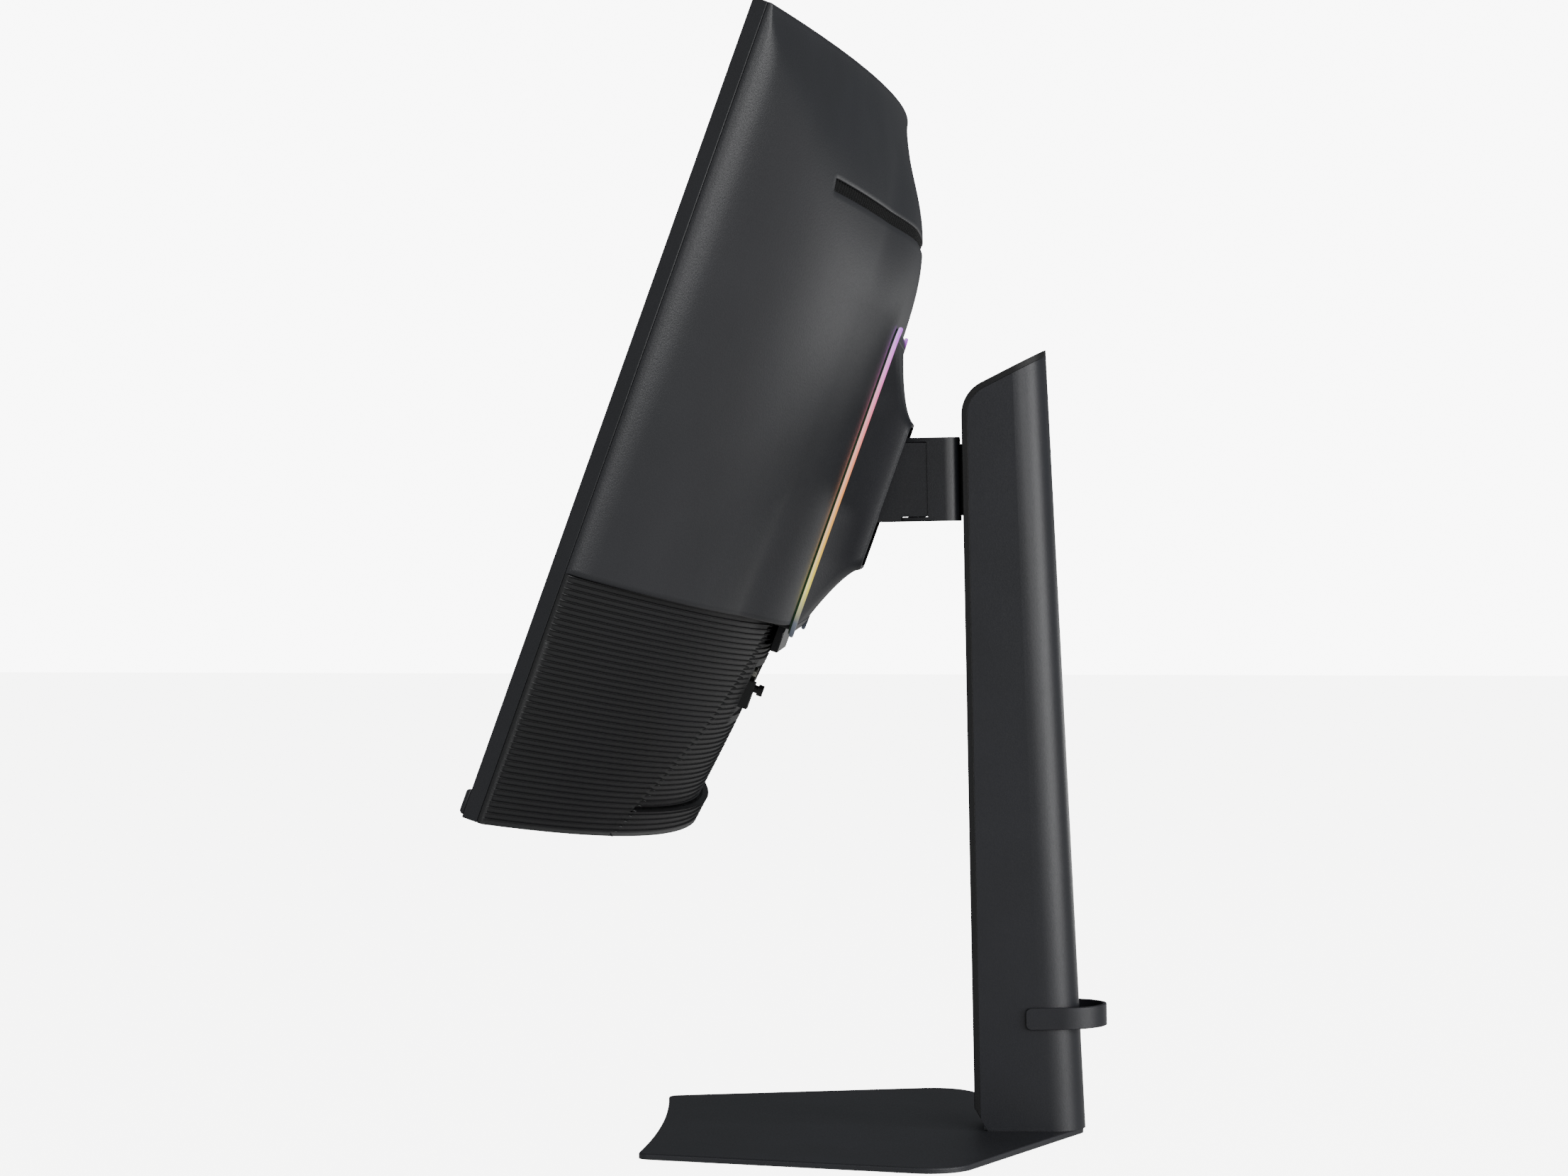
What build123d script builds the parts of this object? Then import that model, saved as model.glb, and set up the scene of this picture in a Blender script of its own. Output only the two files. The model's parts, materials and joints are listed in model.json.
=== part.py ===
from build123d import *
import math
import os

# A curved 32 inch monitor on a height-adjustable stand, with a light bar ring behind its neck.
# Millimetres, +Z up, the screen faces -Y, and the origin is under the middle of the base plate.

# Base plate
foot_height = 1.0
plate_thick = 3.2
base_top = foot_height + plate_thick
base_front_half = 106.0
base_side_half = 149.5
base_front_y = -122.4
base_hollow = 4.8
base_side_y = 48.6
base_apex_y = 121.0

# Column, in its own leaning frame: x across, y backwards from its front face, z up the slide
column_y = 59.1
column_lean = 1.15
column_half = 20.0
column_foot_depth = 62.0
column_front_top = 412.0
column_peak = (47.8, 435.2)
column_toe = (7.2, 13.1)
column_top_radius = 20.0
column_rear_radius = 19.4
cover_thick = 3.4
shell_wall = 2.4
slot_half = 8.0
travel = 120.0

# Bolts up through the plate into the foot of the column
thumb_y = 20.5
foot_screw_x = 8.5
foot_screw_ys = (11.0, 30.0)
bolt_head_top = -1.2

# Steel rail inside the column, and the carriage that slides in it
rail_half = 15.2
rail_front = 5.2
rail_back = 36.0
rail_wall = 1.8
rail_top = 398.0
carriage_half = 12.8
carriage_front = 7.2
carriage_back = 20.0
carriage_bottom = 338.0
carriage_top = 390.0
pad_thick = 0.5
web_half = 7.0
web_bottom = 343.5
web_top = 383.5
drum_y = 27.0
drum_z = 371.0
coil_radius = 6.0

# Neck: a clevis on the carriage, a knuckle that swivels in it, and the tilt axis at its front end
neck_bottom = 340.65
neck_top = 387.35
neck_mid = (neck_bottom + neck_top) / 2
pin_y = -26.0
pin_radius = 5.0
ear_radius = 21.0
ear_thick = 2.4
ear_gap = 0.3
clevis_back = -1.1
knuckle_half = 19.6
knuckle_back_radius = 20.6
knuckle_barrel = 16.0
knuckle_shoulder = -50.0
tilt_y = -68.0
tilt_z = 364.7
shaft_radius = 4.0
running_gap = 0.05
lug_inner = 22.0
lug_outer = 25.5

# Head, in the screen's own frame: x across, y backwards, z up the screen, origin on the tilt axis
tilt_back = 19.7
head_half = 350.0
head_top = 204.2
head_bottom = -210.0
seam_radius = 1050.0
seam_mid = -36.15
seam_split = -83.6
frame_thick = 7.0
chin_proud = 2.0
chin_top = -195.8
skin_thick = 2.4
rim_step = 2.6
screen_half = 341.4
screen_top = 195.5
screen_bottom = -194.7
recess_top_half = 66.0
recess_low_half = 191.0
recess_low = -196.0
vent_half = 260.0
vent_low = 136.0
vent_high = 142.0
ring_half_x = 80.0
ring_half_z = 90.0
ring_corner = 14.0
ring_y = 4.1
ring_thick = 2.4
ring_band = 8.0
ring_lit_x = 68.0
swell_gap = 1.1
swell_reach = 95.0
rim_half_x = 34.0
rim_half_z = 43.4
rim_y = 27.5
pod_wall = 2.4
plate_back = -21.0
bay_half = 45.0
bay_low = -143.0
bay_high = -113.0
bay_back = -11.8
board_back = -29.4
jog_x = 32.0
jog_z = -125.0
inlet_z = -117.3

column_frame = Location((0, column_y, base_top), (column_lean, 0, 0))
tilt_place = Location((0, tilt_y, tilt_z), (-tilt_back - column_lean, 0, 0))
head_frame = column_frame * tilt_place
world_frame = Location((0, 0, 0))


def block(x0, x1, y0, y1, z0, z1):
    centre = ((x0 + x1) / 2, (y0 + y1) / 2, (z0 + z1) / 2)
    return Pos(*centre) * Box(x1 - x0, y1 - y0, z1 - z0)


def rod_x(radius, x0, x1, y=0.0, z=0.0):
    return Pos((x0 + x1) / 2, y, z) * Rot(0, 90, 0) * Cylinder(radius, x1 - x0)


def rod_y(radius, y0, y1, x=0.0, z=0.0):
    return Pos(x, (y0 + y1) / 2, z) * Rot(90, 0, 0) * Cylinder(radius, y1 - y0)


def rod_z(radius, z0, z1, x=0.0, y=0.0):
    return Pos(x, y, (z0 + z1) / 2) * Cylinder(radius, z1 - z0)


def tube_x(inner, outer, x0, x1, y=0.0, z=0.0):
    return rod_x(outer, x0, x1, y, z) - rod_x(inner, x0 - 1, x1 + 1, y, z)


def prism_x(points, half):
    # a side outline of (y, z) points, as wide as twice half
    return extrude(Plane.YZ * Polygon(*points, align=None), half, both=True)


def prism_y(sketch, y0, y1):
    # a sketch drawn looking along the screen's depth, from y0 back to y1
    return Pos(0, y1, 0) * extrude(Plane.XZ * sketch, y1 - y0, dir=(0, -1, 0))


def write(node, frame, *pieces):
    solids = [frame * solid for piece in pieces for solid in piece.solids()]
    shape = solids[0] if len(solids) == 1 else Compound(solids)
    export_step(shape, f"parts/{node}.step")


# ---- surfaces of the head ----


def seam_y(x, offset=0.0):
    # the seam between frame and back covers is an arc about an upright axis before the screen
    return seam_mid - seam_radius + math.sqrt((seam_radius + offset) ** 2 - x * x)


def curved_slab(front, back, half, bottom, top):
    # a slab between two offsets behind the seam arc
    near = [(x, seam_y(x, front)) for x in (-half, 0, half)]
    far = [(x, seam_y(x, back)) for x in (half, 0, -half)]
    outline = [
        ThreePointArc(*near),
        Line(near[2], far[0]),
        ThreePointArc(*far),
        Line(far[2], near[0]),
    ]
    return Pos(0, 0, bottom) * extrude(make_face(outline), top - bottom)


def smooth_step(value):
    value = min(max(value, 0.0), 1.0)
    return value * value * (3 - 2 * value)


def ring_distance(x, z):
    # distance outside the light ring's rounded rectangle
    beside = max(abs(x) - (ring_half_x - ring_corner), 0.0)
    above = max(abs(z) - (ring_half_z - ring_corner), 0.0)
    return max(math.hypot(beside, above) - ring_corner, 0.0)


def upper_depth(x, z):
    # the upper cover rises from the top edge and from the sides, a soft hip joins the slopes,
    # and round the light ring it swells to meet the ring's back
    side = max(head_half - abs(x), 0.001)
    down = max(head_top - z, 0.001)
    middle = 31.5 + 10.0 * smooth_step((z - seam_split) / 168)
    from_side = 0.15 * (1 - math.exp(-side / 4)) + 0.85 * (1 - max(1 - side / 280, 0) ** 3)
    slope = 0.56 * down - 2.6 * (1 - math.exp(-down / 5))
    across = middle * from_side
    depth = rim_step + (1 - rim_step / middle) * (across**-3 + slope**-3) ** (-1 / 3)
    meet = ring_y - swell_gap - seam_y(x)
    pull = 1 - smooth_step(ring_distance(x, z) / swell_reach)
    return depth + (meet - depth) * pull


def lower_depth(x, z):
    # the ribbed cover is shallower and falls away below
    side = max(head_half - abs(x), 0.0)
    down = seam_split - z
    rise = 28.5 - 8.8 * smooth_step((down - 50) / 90)
    edge = 2.2 - 2.2 * (down / 125) ** 2
    sweep = rise * (1 - (abs(x) / head_half) ** 1.8) + edge * (1 - math.exp(-side / 4))
    return rim_step + sweep


def floor_depth(x, z):
    # the sunk middle of the ribbed cover
    down = max(seam_split - z, 0.0)
    return 31.5 - 0.0235 * down**1.32 - 0.00023 * x * x


def skin(depth, thick, half, bottom, top, inset=0.0):
    # a skin whose outer surface stands depth(x, z) - inset behind the seam arc
    across = [half * (1.5 * t - 0.5 * t**3) for t in [i / 16 - 1 for i in range(33)]]
    upward = [bottom + (top - bottom) * i / 16 for i in range(17)]
    rows = [[(x, seam_y(x) + depth(x, z) - inset, z) for x in across] for z in upward]
    face = Face.make_surface_from_array_of_points(rows)
    return extrude(face, thick, dir=(0, -1, 0))


def recess(grow):
    # outline of the sunk middle, a trapezium that widens downwards
    return Polygon(
        (recess_top_half + grow, seam_split + 1),
        (-recess_top_half - grow, seam_split + 1),
        (-recess_low_half - grow, recess_low - grow),
        (recess_low_half + grow, recess_low - grow),
        align=None,
    )


def ring_outline(grow):
    width = 2 * (ring_half_x + grow)
    height = 2 * (ring_half_z + grow)
    return RectangleRounded(width, height, ring_corner + grow)


# ---- base ----


def make_base_plate():
    corner = (base_front_half, base_front_y)
    side = (base_side_half, base_side_y)
    outline = [
        ThreePointArc((-corner[0], corner[1]), (0, corner[1] + base_hollow), corner),
        Line(corner, side),
        Line(side, (0, base_apex_y)),
        Line((0, base_apex_y), (-side[0], side[1])),
        Line((-side[0], side[1]), (-corner[0], corner[1])),
    ]
    face = make_face(outline)
    corners = face.vertices().sort_by(Axis.Y)
    face = fillet(corners[:2], 7)
    face = fillet(face.vertices().filter_by(lambda v: abs(v.X) > 140), 26)
    face = fillet(face.vertices().sort_by(Axis.Y)[-1], 9)
    plate = Pos(0, 0, foot_height) * extrude(face, plate_thick)
    return fillet(plate.faces().sort_by(Axis.Z)[-1].outer_wire().edges(), 0.9)


def foot_bolt(radius, head_radius, x, y):
    # a bolt up through the plate into the foot block, its head sunk in the plate
    shank = rod_z(radius, bolt_head_top, 20, x, y)
    return shank + rod_z(head_radius, -plate_thick + 0.5, bolt_head_top, x, y)


def foot_screw_places():
    return [(x, y) for x in (-foot_screw_x, foot_screw_x) for y in foot_screw_ys]


def foot_bolts():
    return [foot_bolt(2.0, 3.6, x, y) for x, y in foot_screw_places()]


def make_thumbscrew():
    return foot_bolt(3.0, 5.0, 0, thumb_y)


def below_base():
    return block(-200, 200, -200, 200, -60, base_top)


def write_base():
    plate = make_base_plate()
    bolts = [column_frame * bolt for bolt in foot_bolts() + [make_thumbscrew()]]
    for bolt in bolts:
        plate -= bolt
    # bolt heads are reached from below
    plate -= column_frame * rod_z(5.2, -6, bolt_head_top, 0, thumb_y)
    for x, y in foot_screw_places():
        plate -= column_frame * rod_z(3.8, -6, bolt_head_top, x, y)
    write("base_plate", world_frame, plate)
    pads = [(0, 0), (-92, -108), (92, -108), (-128, 40), (128, 40), (0, 104)]
    write("rubber_feet", world_frame, *[rod_z(7, 0, foot_height, x, y) for x, y in pads])
    write("foot_screws", column_frame, *foot_bolts())
    write("thumbscrew", column_frame, make_thumbscrew())


# ---- column ----


def column_outline():
    return [
        (column_toe[0], -3),
        (column_toe[0], 0),
        (0, column_toe[1]),
        (0, column_front_top),
        column_peak,
        (column_foot_depth, 0),
        (column_foot_depth + 0.1, -3),
    ]


def column_block():
    body = prism_x(column_outline(), column_half)
    brow = body.edges().filter_by(Axis.X)
    brow = brow.filter_by(lambda e: abs(e.center().Z - column_front_top) < 1)
    body = fillet(brow, column_top_radius)
    rear = body.edges().filter_by(lambda e: e.center().Y > 50 and abs(e.center().X) > 19)
    rear = rear.filter_by(lambda e: 100 < e.length)
    return fillet(rear, column_rear_radius)


def front_region(depth):
    # everything within depth of the front and slanted top faces
    rise = (column_peak[1] - column_front_top) / column_peak[0]
    drop = depth * math.sqrt(1 + rise * rise)
    line_top = column_front_top - drop
    inside = [
        (depth, -10),
        (depth, line_top + rise * depth),
        (80, line_top + rise * 80),
        (80, -10),
    ]
    keep = prism_x(inside, 60)
    brow = keep.edges().filter_by(Axis.X)
    brow = brow.filter_by(lambda e: abs(e.center().Y - depth) < 0.1 and e.center().Z > 100)
    return fillet(brow, column_top_radius - depth)


def write_column():
    outer = column_block()
    inner = front_region(cover_thick)
    rear_part = outer & inner
    cavity = prism_x(
        [
            (-5, -10),
            (-5, 400),
            (20, 405),
            (column_peak[0] - shell_wall, 420),
            (column_foot_depth - shell_wall, -10),
        ],
        column_half - shell_wall,
    )
    corners = cavity.edges().filter_by(lambda e: e.center().Y > 45 and e.length > 100)
    cavity = fillet(corners, column_rear_radius - shell_wall)
    shell = column_frame * (rear_part - cavity) - below_base()
    peg_y, peg_z = 34.0, 62.3
    pegs = [
        rod_x(2.5, column_half - shell_wall, column_half + 0.2, peg_y, peg_z),
        rod_x(2.5, -column_half - 0.2, -column_half + shell_wall, peg_y, peg_z),
    ]
    for peg in pegs:
        shell -= column_frame * peg
    write("column_shell", world_frame, shell)

    lid = outer - inner
    # the lid's edges are bevelled towards its front
    bevel = [
        (column_half + 1, cover_thick + 0.1),
        (column_half + 1, -1),
        (column_half - cover_thick - 1, -1),
        (column_half, cover_thick),
    ]
    side_cut = extrude(Polygon(*bevel, align=None), 500)
    lid -= side_cut
    lid -= side_cut.mirror(Plane.YZ)
    lid -= block(-slot_half, slot_half, -1, 6, web_bottom - travel - 1.5, web_top + 1.5)
    write("column_front_cover", world_frame, column_frame * lid - below_base())

    rail = block(-rail_half, rail_half, rail_front, rail_back, -3, rail_top)
    inside = rail_half - rail_wall
    rail -= block(-inside, inside, rail_front + rail_wall, rail_back - rail_wall, -4, rail_top + 1)
    rail -= block(-slot_half - 0.2, slot_half + 0.2, 0, rail_front + 3, 30, rail_top + 1)
    write("column_rail", world_frame, column_frame * rail - below_base())

    foot = block(-inside, inside, rail_front + rail_wall, rail_back - rail_wall, -3, 22)
    for bolt in foot_bolts() + [make_thumbscrew()]:
        foot -= bolt
    write("foot_block", world_frame, column_frame * foot - below_base())

    anchor = block(-inside, inside, rail_front + rail_wall, rail_back - rail_wall, 394, 396)
    ribbon_y = drum_y + coil_radius + 0.3
    ribbon = block(-8, 8, ribbon_y, ribbon_y + 0.3, drum_z, 394)
    write("spring_anchor", column_frame, anchor)
    write("spring_ribbon", column_frame, ribbon)

    write("cable_clip", column_frame, make_cable_clip(pegs))


def make_cable_clip(pegs):
    # a strap round the back of the column, pegged into both sides
    low, high, end_y, bend_y = 56.2, 68.4, 29.6, 50.0
    half, thick, reach = 22.2, 2.0, 25.2

    def stadium(inset):
        arms = Pos(0, (end_y + bend_y) / 2) * Rectangle(2 * (half - inset), bend_y - end_y)
        loop = Pos(0, bend_y) * Ellipse(half - inset, reach - inset)
        return arms + (loop - Pos(0, bend_y - 50) * Rectangle(100, 100))

    strap = extrude(stadium(0), high - low) - extrude(stadium(thick), high - low)
    strap = Pos(0, 0, low) * strap
    ends = strap.edges().filter_by(Axis.X)
    ends = ends.filter_by(lambda e: abs(e.center().Y - end_y) < 0.1)
    strap = fillet(ends, 3)
    for peg in pegs:
        strap += peg
    return strap


# ---- carriage and neck ----


def write_carriage():
    body = block(
        -carriage_half, carriage_half, carriage_front, carriage_back, carriage_bottom, carriage_top
    )
    for sign in (-1, 1):
        x0, x1 = sorted((sign * 10.0, sign * carriage_half))
        body += block(x0, x1, carriage_back, drum_y + 5, drum_z - 5, drum_z + 5)
    axle = rod_x(2.0, -carriage_half, carriage_half, drum_y, drum_z)
    body -= axle
    screws = []
    for z in (carriage_bottom + 14, carriage_top - 14):
        shank = rod_y(2.0, 3, carriage_back, 0, z)
        screws.append(shank + rod_y(3.5, carriage_back - 2.2, carriage_back, 0, z))
    for screw in screws:
        body -= screw
    pads = []
    for sign in (-1, 1):
        x0, x1 = sorted((sign * carriage_half, sign * (carriage_half + pad_thick)))
        for z in (carriage_bottom + 8, carriage_top - 8):
            pads.append(block(x0, x1, carriage_front + 2, carriage_back - 1, z - 6, z + 6))
    write("carriage", column_frame, body)
    write("slider_pads", column_frame, *pads)
    write("drum_axle", column_frame, axle)
    write("carriage_screws", column_frame, *screws)

    drum = tube_x(2.0 + running_gap, 4.2, -9.6, 9.6, drum_y, drum_z)
    coil = tube_x(4.2, coil_radius, -8, 8, drum_y, drum_z)
    write("spring_drum", column_frame, drum)
    write("spring_coil", column_frame, coil)

    clevis = block(-column_half, column_half, pin_y, clevis_back, neck_bottom, neck_top)
    rear = clevis.edges().filter_by(Axis.Z).filter_by(lambda e: e.center().Y > -5)
    clevis = fillet(rear, 9)
    clevis -= rod_z(ear_radius, neck_bottom - 1, neck_top + 1, 0, pin_y)
    for low in (neck_bottom, neck_top - ear_thick):
        ear = rod_z(ear_radius, low, low + ear_thick, 0, pin_y)
        clevis += ear & block(-column_half, column_half, -60, 0, low, low + ear_thick)
    clevis += block(-web_half, web_half, clevis_back - 1, carriage_front, web_bottom, web_top)
    pin = rod_z(pin_radius, neck_bottom, neck_top, 0, pin_y)
    clevis -= pin
    for screw in screws:
        clevis -= screw
    write("neck_clevis", column_frame, clevis)
    write("swivel_pin", column_frame, pin)


def write_knuckle():
    half_height = (neck_top - neck_bottom) / 2
    side = [
        (tilt_y, tilt_z - knuckle_barrel),
        (knuckle_shoulder, neck_mid - half_height),
        (pin_y + 25, neck_mid - half_height),
        (pin_y + 25, neck_mid + half_height),
        (knuckle_shoulder, neck_mid + half_height),
        (tilt_y, tilt_z + knuckle_barrel),
    ]
    body = prism_x(side, knuckle_half)
    body += rod_x(knuckle_barrel, -knuckle_half, knuckle_half, tilt_y, tilt_z)
    front = block(-knuckle_half, knuckle_half, -90, pin_y, neck_bottom - 1, neck_top + 1)
    rear = rod_z(knuckle_back_radius, neck_bottom - 1, neck_top + 1, 0, pin_y)
    body = body & (front + rear)
    rebate = ear_thick + ear_gap
    for low in (neck_bottom - 1, neck_top - rebate):
        body -= rod_z(ear_radius + ear_gap, low, low + rebate + 1, 0, pin_y)
    bush = 2.5
    body -= rod_z(pin_radius + bush, neck_bottom, neck_top, 0, pin_y)
    body -= rod_x(shaft_radius + bush, -30, 30, tilt_y, tilt_z)
    body = body.solids().sort_by(SortBy.VOLUME)[-1]
    write("neck_knuckle", column_frame, body)

    sleeves = []
    for low, high in ((neck_bottom + rebate, neck_bottom + 12), (neck_top - 12, neck_top - rebate)):
        sleeve = rod_z(pin_radius + bush, low, high, 0, pin_y)
        sleeves.append(sleeve - rod_z(pin_radius + running_gap, low - 1, high + 1, 0, pin_y))
    write("swivel_bushes", column_frame, *sleeves)
    bushes = []
    washers = []
    for sign in (-1, 1):
        x0, x1 = sorted((sign * 8.0, sign * knuckle_half))
        bushes.append(tube_x(shaft_radius + running_gap, shaft_radius + bush, x0, x1, tilt_y, tilt_z))
        x0, x1 = sorted((sign * knuckle_half, sign * (lug_inner - 0.3)))
        washers.append(tube_x(shaft_radius + running_gap, 11.0, x0, x1, tilt_y, tilt_z))
    write("tilt_bushes", column_frame, *bushes)
    write("friction_washers", column_frame, *washers)


# ---- head ----


def write_hinge():
    plate = block(-55, 55, plate_back - 3, plate_back, -62, 62)
    posts = []
    screws = []
    for x in (-42, 42):
        for z in (-50, 50):
            posts.append(rod_y(5.0, seam_y(36, 2.3), plate_back - 3, x, z))
            shank = rod_y(2.0, seam_y(36, 2.3) + 1, plate_back, x, z)
            screws.append(shank + rod_y(3.6, plate_back, plate_back + 2.2, x, z))
    for post in posts:
        plate += post
    for screw in screws:
        plate -= screw
    bracket = block(-lug_outer, lug_outer, plate_back, plate_back + 3, -34, 34)
    for sign in (-1, 1):
        x0, x1 = sorted((sign * lug_inner, sign * lug_outer))
        bracket += block(x0, x1, plate_back, 0, -13, 13)
        bracket += rod_x(13.0, x0, x1)
    shaft = rod_x(shaft_radius, -33, 33)
    bracket -= shaft
    rivets = []
    for x in (-15, 15):
        for z in (-26, 26):
            rivets.append(
                rod_y(2.0, plate_back - 3, plate_back + 3, x, z)
                + rod_y(3.6, plate_back + 3, plate_back + 5, x, z)
            )
    for rivet in rivets:
        plate -= rivet
        bracket -= rivet
    write("hinge_plate", head_frame, plate)
    write("hinge_screws", head_frame, *screws)
    write("tilt_bracket", head_frame, bracket)
    write("bracket_rivets", head_frame, *rivets)
    write("tilt_shaft", head_frame, shaft)
    springs = []
    nuts = []
    for sign in (-1, 1):
        x0, x1 = sorted((sign * lug_outer, sign * 27.2))
        springs.append(tube_x(shaft_radius, 8.0, x0, x1))
        nut = extrude(Plane.YZ * RegularPolygon(7.4, 6), 5) - rod_x(shaft_radius, -1, 6)
        nuts.append(Pos(27.2 if sign > 0 else -32.2, 0, 0) * nut)
    write("disc_springs", head_frame, *springs)
    write("shaft_nuts", head_frame, *nuts)


def write_screen():
    frame = curved_slab(-frame_thick, 0, head_half, head_bottom, head_top)
    frame -= curved_slab(-20, 10, screen_half + 0.1, screen_bottom - 0.1, screen_top + 0.1)
    write("mid_frame", head_frame, frame)
    chin = curved_slab(-frame_thick - chin_proud, -frame_thick, head_half, head_bottom + 1.5, chin_top)
    edges = chin.edges().filter_by(lambda e: e.length > 600)
    front = edges.sort_by(Axis.Y)[:2]
    write("chin_bezel", head_frame, chamfer(front, 1.2))
    def layer(front, back, inset):
        half = screen_half - inset
        return curved_slab(front, back, half, screen_bottom + inset, screen_top - inset)

    write("screen_glass", head_frame, layer(-6.4, -5.0, 0.0))
    write("optical_sheets", head_frame, layer(-5.0, -3.2, 0.6))
    write("light_guide", head_frame, layer(-3.2, -0.2, 2.8))
    write("backlight_tray", head_frame, layer(-3.2, 1.0, 1.2) - layer(-3.3, -0.2, 2.8))
    write("chassis_plate", head_frame, curved_slab(1.0, 2.2, 170, -150, 90))


def vent_fins():
    fins = []
    pitch = 8.0
    count = int(2 * vent_half / pitch) - 1
    for i in range(count):
        x = (i - (count - 1) / 2) * pitch
        back = seam_y(x) + upper_depth(x, (vent_low + vent_high) / 2) - 1.4
        fins.append(block(x - 0.6, x + 0.6, back - 5, back, vent_low, vent_high))
    return fins


def make_upper_cover():
    cover = skin(upper_depth, skin_thick, head_half, seam_split, head_top)
    lip = skin(upper_depth, 9.0, head_half, seam_split, head_top)
    cover += lip & block(-330, 330, -150, 20, seam_split, seam_split + 2)
    cover -= prism_y(ring_outline(-4), -100, 40)
    cover -= block(-vent_half, vent_half, -150, 20, vent_low, vent_high)
    return cover.solids().sort_by(SortBy.VOLUME)[-1]


def make_vent_grille():
    strip = skin(upper_depth, 1.6, head_half, vent_low - 3, vent_high + 3, inset=skin_thick + 3.6)
    strip = strip & block(-vent_half - 2, vent_half + 2, -150, 20, vent_low - 3, vent_high + 3)
    return strip + vent_fins()


def make_bottom_wall():
    # closes the ribbed cover below, from the frame back to the skin
    xs = [head_half * (i / 10 - 1) for i in range(21)]
    back = [(x, seam_y(x) + lower_depth(x, head_bottom) - 0.2) for x in xs]
    front = [(x, seam_y(x) + 0.2) for x in (head_half, 0, -head_half)]
    outline = [
        Spline(*back),
        Line(back[-1], front[0]),
        ThreePointArc(*front),
        Line(front[-1], back[0]),
    ]
    return Pos(0, 0, head_bottom) * extrude(make_face(outline), skin_thick)


def make_lower_cover():
    cover = skin(lower_depth, skin_thick, head_half, head_bottom, seam_split)
    deep = skin(lower_depth, 9.0, head_half, head_bottom, seam_split, inset=0.4)
    window = prism_y(recess(0), -150, 40)
    cover = cover - window
    walls = (deep & prism_y(recess(2), -150, 40)) - window
    sunk = skin(floor_depth, skin_thick, 200, head_bottom, seam_split)
    sunk = sunk & prism_y(recess(1.3), -150, 40)
    cover = cover + walls + sunk + make_bottom_wall()
    cover -= prism_y(ring_outline(-4), -100, 40)
    cover -= block(-bay_half, bay_half, -60, 40, bay_low, bay_high)
    return cover.solids().sort_by(SortBy.VOLUME)[-1]


def write_covers():
    write("upper_rear_cover", head_frame, make_upper_cover())
    write("vent_grille", head_frame, make_vent_grille())
    write("lower_rear_cover", head_frame, make_lower_cover())


def make_pod():
    foot_inset = ring_band + 0.2

    def section(y, inset):
        share = max((rim_y - y) / (rim_y - ring_y - ring_thick), 0.0) ** 1.55
        half_x = rim_half_x + (ring_half_x - foot_inset - rim_half_x) * share - inset
        half_z = rim_half_z + (ring_half_z - foot_inset - rim_half_z) * share - inset
        corner = 8 + 5 * share - inset / 2
        return Plane.XZ.offset(-y) * RectangleRounded(2 * half_x, 2 * half_z, corner)

    start = ring_y + ring_thick
    places = [start + (rim_y - start) * i / 6 for i in range(7)]
    outer = loft([section(y, 0) for y in places])
    inner = loft([section(y, pod_wall) for y in places])
    return outer - inner


def sloped_run(side):
    # what is cut from the top or bottom run of the ring, so that it goes on with the slope of the pod
    front, back = ring_y + ring_thick + 1, ring_y - 1
    edge, foot = ring_half_z - 1.5, ring_half_z - ring_band + 0.4
    slope = (edge - foot) / ring_thick
    corners = [(back, edge + slope), (front, foot - slope), (front, ring_half_z + 5), (back, ring_half_z + 5)]
    return prism_x([(y, side * z) for y, z in corners], ring_lit_x)


def write_light_ring():
    ring = prism_y(ring_outline(0), ring_y, ring_y + ring_thick)
    ring -= prism_y(ring_outline(-ring_band), ring_y - 1, ring_y + ring_thick + 1)
    ring = ring - sloped_run(1) - sloped_run(-1)
    write("light_ring", head_frame, ring)
    board = prism_y(ring_outline(-1.5), ring_y - 1.0, ring_y)
    board -= prism_y(ring_outline(1 - ring_band), ring_y - 2, ring_y + 1)
    write("light_strip", head_frame, board)
    carrier = prism_y(ring_outline(-4), -24, ring_y - 1.0)
    carrier -= prism_y(ring_outline(-7), -25, ring_y)
    write("ring_carrier", head_frame, carrier)
    write("pod_shroud", head_frame, make_pod())
    low, high = -101.5, -ring_half_z + 3.95
    housing = block(-45, 45, -4.3, 0.3, low, high)
    housing -= block(-43, 43, -5, -1.2, low + 2, high - 2)
    write("lower_housing", head_frame, housing)


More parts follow.
